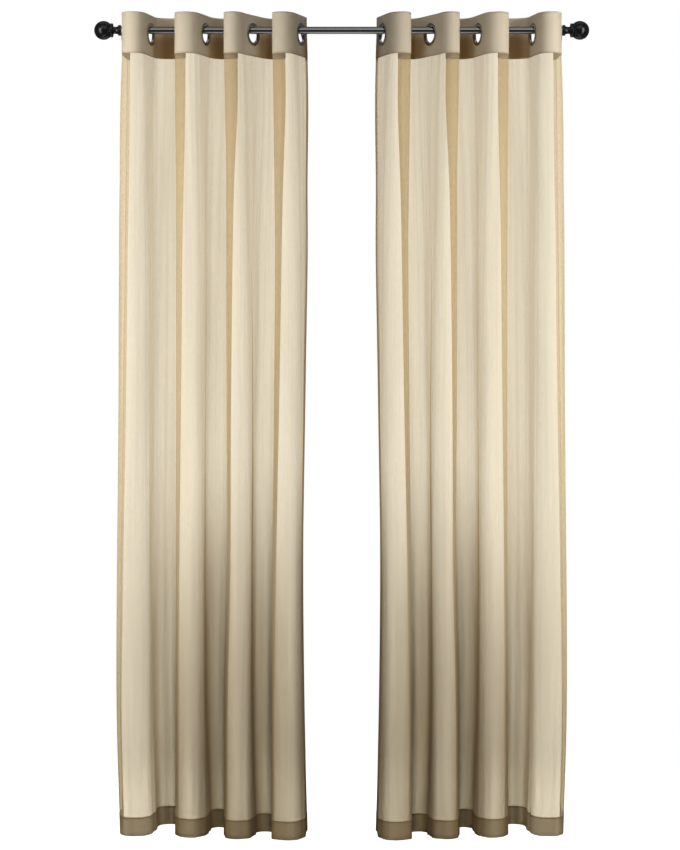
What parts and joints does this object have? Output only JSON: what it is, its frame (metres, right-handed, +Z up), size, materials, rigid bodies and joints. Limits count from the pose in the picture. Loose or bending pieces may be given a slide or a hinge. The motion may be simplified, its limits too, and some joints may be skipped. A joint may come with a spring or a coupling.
{
  "type": "pair of sheer voile eyelet curtains on a curtain rod",
  "caption": "Pair of sheer beige voile curtain panels with metal eyelets, hanging in soft waves from one dark round rod with ball finials.",
  "frame": {"origin": "middle of the rod, on its axis", "axes": "+X along the rod to the right as one faces the curtains, +Y to their back, +Z up"},
  "size_m": [1.292, 0.1546, 2.1405],
  "materials": {
    "voile": "fine sheer plain weave, beige, slightly slubbed",
    "heading_voile": "the same voile doubled over a stiffening band, beige",
    "eyelet_metal": "dark nickel, polished",
    "rod_metal": "gunmetal lacquer, satin gloss",
    "finial_metal": "black lacquer, glossy"
  },
  "bodies": {
    "root": {"panel_left": "voile", "heading_left": "heading_voile", "panel_right": "voile", "heading_right": "heading_voile", "left_ring_1": "eyelet_metal", "left_ring_2": "eyelet_metal", "left_ring_3": "eyelet_metal", "left_ring_4": "eyelet_metal", "left_ring_5": "eyelet_metal", "left_ring_6": "eyelet_metal", "left_ring_7": "eyelet_metal", "left_ring_8": "eyelet_metal", "right_ring_1": "eyelet_metal", "right_ring_2": "eyelet_metal", "right_ring_3": "eyelet_metal", "right_ring_4": "eyelet_metal", "right_ring_5": "eyelet_metal", "right_ring_6": "eyelet_metal", "right_ring_7": "eyelet_metal", "right_ring_8": "eyelet_metal", "rod": "rod_metal", "finial_left": "finial_metal", "finial_right": "finial_metal"}
  },
  "joints": []
}
